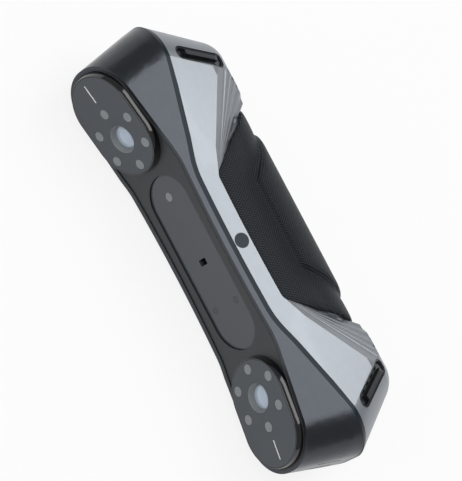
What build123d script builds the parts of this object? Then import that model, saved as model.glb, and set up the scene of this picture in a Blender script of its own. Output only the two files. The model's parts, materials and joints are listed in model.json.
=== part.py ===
from build123d import *
import math
import os

# Handheld three-d scanner, lying on its left side: +X runs to its lower end, -Y is the way
# its cameras look, +Z is its right side. The origin is under its middle, on the table.

# Overall form
overall_length = 215.0
overall_width = 50.0
overall_depth = 72.0
wall = 1.8
fit_gap = 0.1
overrun = 20.0

# Sections of the housing, by distance behind the foremost edge of the camera pods
front_end_draw = 9.2
front_side_draw = 5.8
front_end_flat = 1.2
rim_level = 27.6
rim_end_draw = 2.5
rim_end_flat = 10.0
belly_level = 37.5
back_end_draw = 20.5
back_end_flat = 10.0
end_round = 16.0
round_ease = 0.3
waist_pinch = 1.9
waist_reach = 50.0

# Camera pods
toe_in = 10.0
camera_end_room = 43.5
pod_side_room = 1.2
pod_stretch = 14.5
pod_height = 3.7
pod_lip = 0.8
pod_ledge = 1.2
pod_chamfer = 0.35
pod_chamfer_angle = 45.0
glass_thickness = 1.5
light_edge_room = 4.6
light_radius = 2.3
light_count = 6
cone_radius = 6.7
cone_mouth_radius = 6.3
lens_radius = 4.7
lens_recess = 2.2
lens_dome = 0.7
index_length = 8.9
index_width = 0.6
index_depth = 0.5
index_start = 19.6
index_gap = 0.05
light_board_thickness = 1.0

# Lens barrels and camera boards
barrel_radius = 6.9
barrel_flange_size = 22.0
barrel_flange_corner = 2.5
barrel_seat = 0.9
barrel_flange_thickness = 2.0
barrel_tail_radius = 8.0
barrel_tail_length = 7.0
barrel_rib_depth = 0.5
barrel_rib_pitch = 1.6
barrel_rib_count = 3
camera_board_size = 24.0
camera_board_thickness = 1.6
camera_chip_size = 12.0
camera_chip_thickness = 1.4
camera_screw_spacing = 17.0

# Front plate and centre window
plate_thickness = 3.0
plate_recess = 0.4
plate_gap = 0.45
bend_room = 21.0
bend_radius = 30.0
bezel_ledge = 1.3
window_end_gap = 0.5
window_side_room = 6.2
window_recess = 0.9
window_thickness = 1.4
window_ledge = 1.1
aperture_length = 3.0
aperture_width = 4.6
colour_spot_setback = 10.1
colour_spot_radius = 2.1
sensor_setback = 21.1
sensor_side_room = 5.2
sensor_radius = 1.5
slit_length = 13.0
slit_width = 0.9
slit_half_spacing = 3.6
slit_setback = 15.0

# Seam between bezel and rear shell
seam_depth = 2.05
seam_end_room = 70.5
seam_end_gap = 0.5
seam_radius = 45.0
ring_height = 2.3

# Grip zone of the rear shell
grip_level = 25.3
grip_end_room = 76.5
shoulder_end_room = 51.5
shoulder_level = 67.0
ramp_end_room = 30.5
zone_corner = 4.0
wedge_start_draw = 1.9
wedge_start_share = 0.06
wedge_far_room = 33.5
wedge_far_level = 58.0
wedge_far_draw = 2.2
wedge_near_draw = 12.0
flute_count = 5
flute_depth = 0.6
flute_width_share = 0.8
flute_start_share = 0.08

# Grip sleeve
sleeve_thickness = 2.5
grip_edge_draw = 3.1
grip_waist_draw = 6.6
grip_centre_level = 48.6
grip_scoop = 0.9
flare_width = 2.4
flare_depth = 1.4
flare_lead = 9.0
flare_setback = 12.0
pad_height = 3.6
pad_front_lead = 10.0
pad_back_lead = 11.0
pad_front_level = 47.0

# Vent slots
vent_length = 27.5
vent_width = 7.6
vent_end_room = 26.0
vent_level = 48.5
vent_lean = 62.5
vent_wall = 1.0
vent_depth = 6.0
vent_floor = 1.0
insert_sink = 0.6
vent_bar_count = 5
vent_bar_gap = 2.2
vent_blade_width = 2.7
vent_blade_setback = 2.4

# Scan button
button_end_room = 40.8
button_radius = 7.6
button_gap = 0.08
button_rise = 3.1
button_dome = 1.0
button_travel = 0.9
button_flange = 0.6
button_ring_wall = 0.9
button_ring_flange = 0.8
button_ring_rise = 2.5
button_ring_depth = 4.0
button_ring_edge = 0.5
switch_size = 6.0
switch_height = 3.4
switch_plunger_radius = 1.6
switch_plunger_height = 0.8
button_board_edge = 1.0
button_board_width = 12.0
button_board_thickness = 1.2
button_post_radius = 1.9
button_post_gap = 0.2

# Tripod thread and its plug
thread_radius = 3.2
thread_length = 8.0
thread_flats = 9.0
thread_offset = 0.25
thread_boss_length = 15.0
thread_boss_width = 10.6
neck_depth = 5.0
neck_width = 10.0
plug_radius = 3.4
plug_gap = 0.08

# Cable port in the lower end
port_level = 57.0
port_length = 17.0
port_width = 9.5
port_corner = 3.0
port_recess = 2.6
port_wall = 0.8
port_floor = 1.4
port_flange = 1.4
port_flange_depth = 5.0
usb_length = 9.2
usb_width = 3.4
usb_shell = 0.4
usb_tongue_length = 6.4
usb_tongue_width = 0.8
usb_depth = 8.0

# Lanyard eye in the upper back corner
eye_radius = 1.1
eye_spacing = 4.2
eye_end_room = 28.0
eye_turn = 50.0

# Optical bench and its screws
bench_setback = 7.0
bench_thickness = 2.5
bench_side_room = 8.0
bench_flange_margin = 2.0
bench_end_margin = 20.0
bench_bend_margin = 3.0
bench_corner = 2.0
bench_notch_gap = 0.6
post_bend_room = 7.0
post_side_room = 9.8
post_radius = 1.9
screw_radius = 1.0
screw_head_radius = 1.9
screw_head_height = 1.3
screw_grip = 3.4
socket_radius = 0.7
socket_depth = 0.7
screw_gap = 0.05
lug_length = 6.0
lug_height = 5.3
lug_side_room = 12.6

# Projector, colour camera and range sensors
projector_length = 17.0
projector_width = 15.0
projector_depth = 9.0
nozzle_length = 7.0
nozzle_width = 8.6
nozzle_recess = 4.0
projector_fin_pitch = 3.0
projector_fin_count = 5
projector_fin_depth = 2.5
colour_size = 8.4
colour_corner = 0.8
colour_depth = 3.0
colour_barrel_radius = 3.0

# Main board, chips and heat sink
board_margin = 5.0
board_side_room = 11.0
board_thickness = 1.6
board_setback = 21.0
standoff_radius = 2.2
standoff_bend_room = 2.0
standoff_edge = 3.5
chip_size = 15.0
chip_height = 1.4
chip_pitch = 26.0
chip_margin = 2.0
sink_length = 24.0
sink_width = 21.0
sink_base = 2.0
fin_height = 8.0
fin_thickness = 1.0
fin_count = 7

# Fan in the lower end
fan_end_room = 33.5
fan_level = 48.0
fan_size = 30.0
fan_depth = 8.0
fan_corner = 3.0
fan_bore_radius = 13.6
fan_hub_radius = 6.2
fan_tip_gap = 0.5
fan_hub_depth = 5.6
fan_base_thickness = 1.4
fan_strut_width = 1.8
fan_pin_radius = 1.0
fan_pin_gap = 0.04
fan_pin_length = 5.0
blade_count = 7
blade_thickness = 0.9
blade_pitch = 38.0
blade_root = 0.6
blade_width = 5.2
rail_thickness = 2.0
rail_grip = 2.0
rail_length = 12.0

# Derived places
mid_z = overall_width / 2
front_y = -overall_depth / 2
back_y = overall_depth / 2
back_round = overall_width / 2 + round_ease
front_length = overall_length - 2 * front_end_draw
front_width = overall_width - 2 * front_side_draw
front_corner = (front_width - front_end_flat) / 2
rim_length = overall_length - 2 * rim_end_draw
rim_corner = (overall_width - rim_end_flat) / 2
back_length = overall_length - 2 * back_end_draw
back_corner = (overall_width - back_end_flat) / 2
pinch_radius = (waist_reach**2 + waist_pinch**2) / (2 * waist_pinch)
camera_spacing = overall_length - 2 * camera_end_room
pod_radius = front_width / 2 - pod_side_room
light_ring_radius = pod_radius - light_edge_room
bend_reach = camera_spacing / 2 - bend_room
window_length = 2 * (bend_reach - window_end_gap)
window_width = front_width - 2 * window_side_room
colour_spot_reach = window_length / 2 - colour_spot_setback
sensor_reach = window_length / 2 - sensor_setback
sensor_half_spacing = window_width / 2 - sensor_side_room
seam_reach = overall_length / 2 - seam_end_room
grip_reach = overall_length / 2 - grip_end_room
shoulder_reach = overall_length / 2 - shoulder_end_room
ramp_reach = overall_length / 2 - ramp_end_room
vent_reach = overall_length / 2 - vent_end_room
button_reach = overall_length / 2 - button_end_room
eye_reach = overall_length / 2 - eye_end_room
fan_reach = overall_length / 2 - fan_end_room
grip_edge_half = overall_width / 2 - grip_edge_draw
grip_waist_half = overall_width / 2 - grip_waist_draw
rim_y = front_y + rim_level
belly_y = front_y + belly_level
toe_sin = math.sin(math.radians(toe_in))
toe_cos = math.cos(math.radians(toe_in))
toe_tan = math.tan(math.radians(toe_in))
lens_y = front_y + (pod_stretch + pod_radius) * toe_sin
plate_y = lens_y + pod_height / toe_cos + (camera_spacing / 2 - bend_reach) * toe_tan
seam_y = plate_y + seam_depth
seam_end_y = belly_y - ring_height - seam_end_gap
seam_turn = math.atan2(seam_end_y - seam_y, overall_length / 2 - seam_reach)
grip_y = front_y + grip_level
side_slope = (overall_width - front_width) / 2 / rim_level
side_angle = math.atan(side_slope)
end_turn = math.atan2((overall_length - back_length) / 2, back_y - belly_y)
ramp_turn = math.atan2(overall_depth - shoulder_level, ramp_reach - shoulder_reach)

bench_y = plate_y + bench_setback
bench_back_y = bench_y + bench_thickness
bench_half_width = overall_width / 2 - bench_side_room
bench_end_half_width = barrel_flange_size / 2 + bench_flange_margin
bench_half_length = camera_spacing / 2 + bench_end_margin
bench_reach = bend_reach + bench_bend_margin
post_reach = bend_reach - post_bend_room
post_half_spacing = overall_width / 2 - post_side_room
lug_reach = (thread_boss_length / 2 + post_reach) / 2
lug_inner_half = overall_width / 2 - lug_side_room
standoff_reach = bend_reach - standoff_bend_room
board_length = 2 * (standoff_reach + board_margin)
board_width = overall_width - 2 * board_side_room
standoff_half_spacing = board_width / 2 - standoff_edge
chip_room = board_length / 2 - chip_size / 2 - chip_margin
chip_count = 1 + 2 * int(chip_room / chip_pitch)
board_y = plate_y + board_setback
pod_bench = pod_height + bench_setback + bench_thickness
fan_y = front_y + fan_level

side_plane = Plane((0, 0, mid_z))
length_plane = Plane((0, 0, mid_z), x_dir=(0, 1, 0), z_dir=(1, 0, 0))


def waist_half(depth_y):
    """Half the housing's width at the middle of its waist, at a depth in front of the rim."""
    return front_width / 2 + side_slope * (depth_y - front_y) - waist_pinch


def across(depth_y):
    """Plane over the whole width at one depth, facing the way the cameras look."""
    return Plane((0, depth_y, mid_z), x_dir=(1, 0, 0), z_dir=(0, -1, 0))


def pod_plane(end, behind=0):
    """Plane of a pod's face: end is -1 for the upper pod and 1 for the lower one."""
    face = Plane(
        (end * camera_spacing / 2, lens_y, mid_z),
        x_dir=(end * toe_cos, -toe_sin, 0),
        z_dir=(-end * toe_sin, -toe_cos, 0),
    )
    return face.offset(-behind)


def along(face):
    """Plane through a face plane's axis, for profiles that turn about it."""
    return Plane(face.origin, x_dir=face.x_dir, z_dir=-face.y_dir)


def front_line(behind):
    """The bent front seen from the side, moved straight back by the given distance."""
    bend = bend_reach + behind * math.tan(math.radians(toe_in) / 2)
    middle = plate_y + behind
    tip = middle - (overall_length - bend) * toe_tan
    points = [(-overall_length, tip), (-bend, middle), (bend, middle), (overall_length, tip)]
    return points, bend_radius + behind


def seam_line(behind):
    """The seam seen from the side: level at the waist, then falling back to both ends."""
    bend = seam_reach - behind * math.tan(seam_turn / 2)
    middle = seam_y + behind
    tip = middle + (overall_length - bend) * math.tan(seam_turn)
    points = [(-overall_length, tip), (-bend, middle), (bend, middle), (overall_length, tip)]
    return points, seam_radius - behind


def slab(front, back):
    """Everything between two side-view lines."""
    with BuildPart() as layer:
        with BuildSketch(side_plane):
            with BuildLine():
                near = FilletPolyline(*front[0], radius=front[1])
                far = FilletPolyline(*back[0], radius=back[1]) if back[1] else Polyline(*back[0])
                Line(near @ 0, far @ 0)
                Line(near @ 1, far @ 1)
            make_face()
        extrude(amount=overall_width, both=True)
    return layer.part


def waist_cut(inset):
    """What the pinched waist takes off both sides of a form drawn in by the inset."""
    along_side = Plane(
        (0, rim_y, mid_z + overall_width / 2),
        x_dir=(1, 0, 0),
        z_dir=(0, math.cos(side_angle), math.sin(side_angle)),
    )
    with BuildPart() as cut:
        with BuildSketch(along_side):
            with Locations((0, waist_pinch - pinch_radius)):
                Circle(pinch_radius + inset)
        extrude(amount=overall_depth, both=True)
        mirror(about=side_plane)
    return cut.part


def body_form(inset):
    """The housing's outer form, or the same form drawn in all round by the inset."""
    far_length = back_length - 2 * overrun * math.tan(end_turn)
    sections = [
        (front_y, front_length, front_width, front_corner),
        (rim_y, rim_length, overall_width, rim_corner),
        (belly_y, overall_length, overall_width, rim_corner),
        (back_y + overrun, far_length, overall_width, back_corner),
    ]
    with BuildPart() as form:
        for depth_y, length, width, corner in sections:
            with BuildSketch(across(depth_y)):
                RectangleRounded(length - 2 * inset, width - 2 * inset, corner - inset)
        loft(ruled=True)
        # The back and both sloping ends are full rounds over the width
        slope = Vector(math.cos(end_turn), math.sin(end_turn), 0)
        crowns = [(Vector(0, back_y, mid_z), Vector(0, 1, 0), 0)]
        for end in (-1, 1):
            belly_end = Vector(end * overall_length / 2, belly_y, mid_z)
            crowns.append((belly_end, Vector(end * slope.X, slope.Y, 0), round_ease))
        round_radius = back_round - inset
        for crown, outward, ease in crowns:
            with BuildSketch(Plane(crown, x_dir=outward, z_dir=outward.cross(Vector(0, 0, 1)))):
                with BuildLine():
                    Polyline(
                        (ease - back_round, round_radius),
                        (-overall_length - overrun, round_radius),
                        (-overall_length - overrun, -round_radius),
                        (ease - back_round, -round_radius),
                    )
                    ThreePointArc(
                        (ease - back_round, round_radius),
                        (ease - inset, 0),
                        (ease - back_round, -round_radius),
                    )
                make_face()
            extrude(amount=2 * overall_length, both=True, mode=Mode.INTERSECT)
        half_back = back_length / 2 - inset + inset * math.tan(end_turn) + round_ease
        half_belly = overall_length / 2 - inset + round_ease
        with BuildSketch(side_plane) as sloped:
            with BuildLine():
                Polyline(
                    (-half_belly, front_y - overrun),
                    (-half_belly, belly_y),
                    (-half_back, back_y - inset),
                    (half_back, back_y - inset),
                    (half_belly, belly_y),
                    (half_belly, front_y - overrun),
                    close=True,
                )
            make_face()
            fillet(sloped.vertices().group_by(Axis.Y)[-1], end_round - inset)
        extrude(amount=overall_width, both=True, mode=Mode.INTERSECT)
        add(waist_cut(inset), mode=Mode.SUBTRACT)
    return form.part


def grip_zone(growth):
    """The space behind the waist that the grip fills, grown by a wall where asked."""
    far_y = back_y + overrun
    far_reach = ramp_reach + (far_y - back_y) / math.tan(ramp_turn)
    corner_y = front_y + shoulder_level
    with BuildPart() as zone:
        with BuildSketch(side_plane) as outline:
            with BuildLine():
                Polyline(
                    (-far_reach, far_y),
                    (-shoulder_reach, corner_y),
                    (-grip_reach, grip_y),
                    (grip_reach, grip_y),
                    (shoulder_reach, corner_y),
                    (far_reach, far_y),
                    close=True,
                )
            make_face()
            fillet(outline.vertices().group_by(Axis.Y)[0], zone_corner)
            if growth:
                offset(amount=growth, kind=Kind.INTERSECTION)
        extrude(amount=overall_width, both=True)
    return zone.part


# Corner of a fluted shoulder at the waist, and its two far corners on the back
wedge_far_reach = overall_length / 2 - wedge_far_room
wedge_start = Vector(
    grip_reach + (shoulder_reach - grip_reach) * wedge_start_share,
    grip_y + (front_y + shoulder_level - grip_y) * wedge_start_share,
    overall_width - wedge_start_draw,
)
wedge_far = Vector(wedge_far_reach, front_y + wedge_far_level, overall_width - wedge_far_draw)
wedge_near = Vector(shoulder_reach, front_y + shoulder_level, overall_width - wedge_near_draw)
wedge_normal = (wedge_far - wedge_start).cross(wedge_near - wedge_start).normalized()


def shoulder_cut(sink):
    """What the four shoulder facets take off the end blocks, moved in by the sink."""
    with BuildPart() as cut:
        with BuildSketch(Plane(wedge_start - wedge_normal * sink, z_dir=wedge_normal)):
            Rectangle(2 * overall_length, 2 * overall_length)
        extrude(amount=overall_width)
        with BuildSketch(Plane.YZ.offset(grip_reach)):
            Rectangle(2 * overall_length, 2 * overall_length)
        extrude(amount=overall_length, mode=Mode.INTERSECT)
        mirror(about=Plane.YZ)
        mirror(about=side_plane)
    return cut.part


def end_blocks(form, growth):
    """A housing form without the grip's space and the shoulder facets."""
    with BuildPart() as blocks:
        add(form)
        add(grip_zone(growth), mode=Mode.SUBTRACT)
        add(shoulder_cut(2 * growth), mode=Mode.SUBTRACT)
    return blocks.part


def handle(inset):
    """The round-backed handle along the waist, flared toward both ends, drawn in by the inset."""
    half_edge = grip_edge_half - inset
    centre_y = front_y + grip_centre_level
    flare_start = grip_reach - flare_lead
    flare_end = shoulder_reach - flare_setback
    far = shoulder_reach + overrun
    flared = (flare_width, flare_depth)
    sections = [(-far, flared), (-flare_end, flared), (-flare_start, (0, 0))]
    sections += [(-reach, flare) for reach, flare in reversed(sections)]
    with BuildPart() as grip:
        for reach, (wider, deeper) in sections:
            half_waist = grip_waist_half + wider - inset
            round_depth = grip_waist_half + deeper - inset
            with BuildSketch(length_plane.offset(reach)):
                with BuildLine():
                    Line((front_y, 0), (front_y, half_edge))
                    Line((front_y, half_edge), (grip_y, half_edge))
                    SagittaArc((grip_y, half_edge), (centre_y, half_waist), grip_scoop)
                    EllipticalCenterArc((centre_y, 0), round_depth, half_waist)
                    mirror(about=Plane.XZ)
                make_face()
        loft(ruled=True)
    return grip.part


outer_form = body_form(0)
inner_form = body_form(wall)
flat_back = ([(-overall_length, back_y + overrun), (overall_length, back_y + overrun)], 0)
behind_ring = slab(seam_line(ring_height), flat_back)
sunk_form = body_form(insert_sink)

os.makedirs("parts", exist_ok=True)

# Front bezel: the tapered metal-look ring round the front
with BuildPart() as plate_pocket:
    add(inner_form)
    add(slab(front_line(-overrun), front_line(plate_thickness)), mode=Mode.INTERSECT)

with BuildPart() as front_bezel:
    add(outer_form)
    add(slab(front_line(-plate_recess), seam_line(0)), mode=Mode.INTERSECT)
    add(body_form(wall + bezel_ledge), mode=Mode.SUBTRACT)
    add(plate_pocket.part, mode=Mode.SUBTRACT)
    # Two narrow slits along the depth in each end wall
    for end in (-1, 1):
        for side in (-1, 1):
            with BuildSketch(Plane.YZ.offset(end * (front_length / 2 - wall - bezel_ledge))):
                slit_y = front_y + slit_setback + slit_length / 2
                with Locations((slit_y, mid_z + side * slit_half_spacing)):
                    SlotOverall(slit_length, slit_width)
            extrude(amount=end * overrun, mode=Mode.SUBTRACT)
front_bezel.part.label = "front_bezel"
export_step(front_bezel.part, "parts/front_bezel.step")

# Front plate: bent toward both ends, with the window's pocket and posts for the bench
with BuildPart() as front_plate:
    add(body_form(wall + plate_gap))
    add(slab(front_line(0), front_line(plate_thickness)), mode=Mode.INTERSECT)
    with BuildSketch(across(plate_y)):
        SlotOverall(window_length + 2 * fit_gap, window_width + 2 * fit_gap)
    extrude(amount=-window_recess - window_thickness, mode=Mode.SUBTRACT)
    with BuildSketch(across(plate_y)):
        SlotOverall(window_length - 2 * window_ledge, window_width - 2 * window_ledge)
    extrude(amount=-plate_thickness, mode=Mode.SUBTRACT)
    for end in (-1, 1):
        with BuildSketch(pod_plane(end, pod_height)):
            Circle(barrel_radius + fit_gap)
        extrude(amount=-2 * plate_thickness, mode=Mode.SUBTRACT)
    with BuildSketch(across(plate_y + plate_thickness)):
        with GridLocations(2 * post_reach, 2 * post_half_spacing, 2, 2):
            Circle(post_radius)
    extrude(amount=plate_thickness - bench_setback)
    with BuildSketch(across(bench_y)):
        with GridLocations(2 * post_reach, 2 * post_half_spacing, 2, 2):
            Circle(screw_radius)
    extrude(amount=screw_grip, mode=Mode.SUBTRACT)
front_plate.part.label = "front_plate"
export_step(front_plate.part, "parts/front_plate.step")

# Seam ring: the dark blue band between bezel and rear shell
with BuildPart() as seam_ring:
    add(outer_form)
    add(slab(seam_line(0), seam_line(ring_height)), mode=Mode.INTERSECT)
    add(inner_form, mode=Mode.SUBTRACT)
seam_ring.part.label = "seam_ring"
export_step(seam_ring.part, "parts/seam_ring.step")

# Grip sleeve: soft cover of the handle, with a raised pad for the palm
handle_core = handle(sleeve_thickness)
grip_centre_y = front_y + grip_centre_level
pad_front_reach = grip_reach - pad_front_lead
pad_back_reach = shoulder_reach - pad_back_lead
with BuildPart() as palm_pad:
    with BuildSketch(length_plane):
        with Locations((grip_centre_y, 0)):
            Circle(grip_waist_half + pad_height)
    extrude(amount=overall_length, both=True)
    with BuildSketch(side_plane):
        with BuildLine():
            Polyline(
                (-pad_front_reach, front_y + pad_front_level),
                (pad_front_reach, front_y + pad_front_level),
                (pad_back_reach, back_y),
                (-pad_back_reach, back_y),
                close=True,
            )
        make_face()
    extrude(amount=overall_width, both=True, mode=Mode.INTERSECT)

# The sleeve ends on the shoulder walls, carried on past their top edge
wall_run = (shoulder_reach - grip_reach) / (front_y + shoulder_level - grip_y)
wall_top_reach = grip_reach + wall_run * (back_y - grip_y)
with BuildPart() as grip_sleeve:
    add(handle(0))
    add(palm_pad.part)
    add(grip_zone(0), mode=Mode.INTERSECT)
    with BuildSketch(side_plane):
        with BuildLine():
            Polyline(
                (-grip_reach, grip_y),
                (grip_reach, grip_y),
                (wall_top_reach, back_y),
                (-wall_top_reach, back_y),
                close=True,
            )
        make_face()
    extrude(amount=overall_width, both=True, mode=Mode.INTERSECT)
    add(handle_core, mode=Mode.SUBTRACT)
grip_sleeve.part.label = "grip_sleeve"
export_step(grip_sleeve.part, "parts/grip_sleeve.step")

# Planes of the features on the rear shell
thread_y = (seam_y + ring_height + grip_y) / 2 - thread_offset
thread_plane = Plane(
    (0, thread_y, mid_z + waist_half(thread_y)),
    x_dir=(1, 0, 0),
    z_dir=(0, -math.sin(side_angle), math.cos(side_angle)),
)
ramp_y = front_y + shoulder_level + (button_reach - shoulder_reach) * math.tan(ramp_turn)
button_plane = Plane(
    (-button_reach, ramp_y, mid_z),
    x_dir=(0, 0, 1),
    z_dir=(math.sin(ramp_turn), math.cos(ramp_turn), 0),
)
port_y = front_y + port_level
port_plane = Plane(
    (overall_length / 2 - (port_y - belly_y) * math.tan(end_turn), port_y, mid_z),
    x_dir=(0, 0, 1),
    z_dir=(math.cos(end_turn), math.sin(end_turn), 0),
)
ring_bore = button_radius + button_gap
ring_outer = ring_bore + button_ring_wall
cap_foot = button_ring_depth + button_gap + button_flange
plunger_top = cap_foot + button_travel + button_gap
button_board_top = plunger_top + switch_plunger_height + switch_height
button_post_spacing = 2 * (ring_outer + fit_gap + button_post_gap + button_post_radius)
button_board_length = button_post_spacing + 2 * (button_post_radius + button_board_edge)


def vent_sketch_plane(side):
    """Plane at the bottom of the vent slots of one side: 1 is the right side."""
    return Plane.XY.offset(mid_z + side * (overall_width / 2 - vent_depth))


def vent_places(end):
    """Where a vent slot lies in its plane, leaning with the end that it is near."""
    return Locations(Location((end * vent_reach, front_y + vent_level), -end * vent_lean))


# Rear shell: silver half with the handle's core, fluted shoulders and vent slots
with BuildPart() as core_body:
    add(handle_core)
    add(grip_zone(wall / 2), mode=Mode.INTERSECT)

with BuildPart() as rear_shell:
    add(end_blocks(outer_form, 0))
    add(core_body.part)
    # Flutes that fan out over each shoulder, wider and deeper with their distance from its corner
    for number in range(flute_count):
        flute_share = (number + 0.5) / flute_count
        flute_end = wedge_far + (wedge_near - wedge_far) * flute_share
        run = flute_end - wedge_start
        half_width = (wedge_near - wedge_far).length / flute_count / 2 * flute_width_share
        flute_radius = (half_width**2 + flute_depth**2) / (2 * flute_depth)
        root = wedge_start + wedge_normal * (flute_radius - flute_depth) * flute_start_share
        root += run * flute_start_share
        tip = flute_end + wedge_normal * (flute_radius - flute_depth)
        for end in (-1, 1):
            for side in (-1, 1):
                base = Vector(end * root.X, root.Y, mid_z + side * (root.Z - mid_z))
                head = Vector(end * tip.X, tip.Y, mid_z + side * (tip.Z - mid_z))
                reach = (head - base) * (1 + flute_start_share)
                with BuildSketch(Plane(base, z_dir=reach)):
                    Circle(flute_radius * flute_start_share)
                with BuildSketch(Plane(base + reach, z_dir=reach)):
                    Circle(flute_radius * (1 + flute_start_share * (1 - flute_start_share)))
                loft(mode=Mode.SUBTRACT)
    add(end_blocks(inner_form, wall), mode=Mode.SUBTRACT)
    add(handle(sleeve_thickness + wall), mode=Mode.SUBTRACT)
    # Rails on the side walls that hold the fan's frame
    for face in (-1, 1):
        for side in (-1, 1):
            rail_inner = fan_size / 2 - rail_grip
            rail_outer = overall_width / 2 - wall / 2
            rail_place = (
                fan_reach + face * (fan_depth / 2 + fit_gap + rail_thickness / 2),
                fan_y - fan_size / 2 + rail_length / 2,
                mid_z + side * (rail_inner + rail_outer) / 2,
            )
            with Locations(rail_place):
                Box(rail_thickness, rail_length, rail_outer - rail_inner)
    # Lugs that take the case screws
    for end in (-1, 1):
        for side in (-1, 1):
            lug_outer = waist_half(bench_back_y) - wall / 2
            lug_place = (
                end * lug_reach,
                bench_back_y + lug_height / 2,
                mid_z + side * (lug_inner_half + lug_outer) / 2,
            )
            with Locations(lug_place):
                Box(lug_length, lug_height, lug_outer - lug_inner_half)
    # Neck and boss of the tripod thread
    with BuildSketch(thread_plane.offset(fit_gap - wall)):
        Rectangle(neck_width, grip_y - seam_y - ring_height)
    extrude(amount=wall - fit_gap - neck_depth)
    with BuildSketch(thread_plane.offset(-neck_depth + fit_gap)):
        Rectangle(thread_boss_length, thread_boss_width)
    extrude(amount=-thread_length - fit_gap)
    # Posts under the scan button
    with BuildSketch(button_plane.offset(-wall / 2)):
        with GridLocations(button_post_spacing, 0, 2, 1):
            Circle(button_post_radius)
    extrude(amount=wall / 2 - button_board_top)
    add(behind_ring, mode=Mode.INTERSECT)
    add(grip_sleeve.part, mode=Mode.SUBTRACT)
    # Holes: thread, button, port, lug pilots, vents and lanyard eye
    with BuildSketch(thread_plane):
        Circle(plug_radius + plug_gap)
    extrude(amount=-neck_depth, mode=Mode.SUBTRACT)
    with BuildSketch(thread_plane.offset(-neck_depth)):
        RegularPolygon(thread_flats / 2 + fit_gap, 6, major_radius=False)
    extrude(amount=-2 * thread_length, mode=Mode.SUBTRACT)
    with BuildSketch(button_plane):
        Circle(ring_outer + fit_gap)
    extrude(amount=-button_ring_depth, both=True, mode=Mode.SUBTRACT)
    with BuildSketch(port_plane):
        RectangleRounded(port_length + 2 * fit_gap, port_width + 2 * fit_gap, port_corner)
    extrude(amount=-2 * wall, both=True, mode=Mode.SUBTRACT)
    with BuildSketch(across(bench_back_y)):
        with GridLocations(2 * lug_reach, 2 * post_half_spacing, 2, 2):
            Circle(screw_radius)
    extrude(amount=-screw_grip, mode=Mode.SUBTRACT)
    for end in (-1, 1):
        for side in (-1, 1):
            with BuildSketch(vent_sketch_plane(side)):
                with vent_places(end):
                    SlotOverall(vent_length, vent_width)
            extrude(amount=side * overrun, mode=Mode.SUBTRACT)
    turn = math.radians(eye_turn)
    for step in (-1, 1):
        eye_place = Plane(
            (
                -eye_reach + step * eye_spacing / 2,
                back_y - back_round + back_round * math.sin(turn),
                mid_z + back_round * math.cos(turn),
            ),
            z_dir=(0, math.sin(turn), math.cos(turn)),
        )
        with BuildSketch(eye_place):
            Circle(eye_radius)
        extrude(amount=-2 * wall, both=True, mode=Mode.SUBTRACT)
rear_shell.part.label = "rear_shell"
export_step(rear_shell.part, "parts/rear_shell.step")

# Vent inserts: black trays with air holes and a broad blade along their outer half
blade_offset = (vent_width - vent_blade_width) / 2 - vent_wall
for end, end_name in ((-1, "upper"), (1, "lower")):
    for side, side_name in ((-1, "left"), (1, "right")):
        with BuildPart() as vent_insert:
            with BuildSketch(vent_sketch_plane(side)):
                with vent_places(end):
                    SlotOverall(vent_length - 2 * fit_gap, vent_width - 2 * fit_gap)
            extrude(amount=side * vent_depth)
            with BuildSketch(vent_sketch_plane(side).offset(side * vent_floor)):
                with vent_places(end):
                    SlotOverall(vent_length - 2 * vent_wall, vent_width - 2 * vent_wall)
            extrude(amount=side * vent_depth, mode=Mode.SUBTRACT)
            with BuildSketch(vent_sketch_plane(side)):
                with vent_places(end):
                    with GridLocations(vent_length / (vent_bar_count + 1), 0, vent_bar_count, 1):
                        with Locations((0, -vent_blade_width / 2)):
                            Rectangle(vent_bar_gap, vent_width - vent_blade_width - 3 * vent_wall)
            extrude(amount=side * vent_floor, mode=Mode.SUBTRACT)
            with BuildSketch(vent_sketch_plane(side)):
                with vent_places(end):
                    with Locations((-end * vent_blade_setback / 2, blade_offset)):
                        Rectangle(vent_length - vent_width - vent_blade_setback, vent_blade_width)
            extrude(amount=side * vent_depth)
            add(sunk_form, mode=Mode.INTERSECT)
        node = f"{end_name}_{side_name}_vent_insert"
        vent_insert.part.label = node
        export_step(vent_insert.part, f"parts/{node}.step")


def dome_arc(radius, top, dome):
    """Profile of a round dome, from its rim up to the axis."""
    sphere = (radius**2 + dome**2) / (2 * dome)
    turn = math.asin(radius / sphere) / 2
    halfway = (sphere * math.sin(turn), top - sphere + sphere * math.cos(turn))
    ThreePointArc((radius, top - dome), halfway, (0, top))


def pod_slot(inset):
    """A pod's rounded outline, drawn in by the inset."""
    with Locations((pod_stretch / 2, 0)):
        SlotCenterToCenter(pod_stretch, 2 * (pod_radius - inset))


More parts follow.
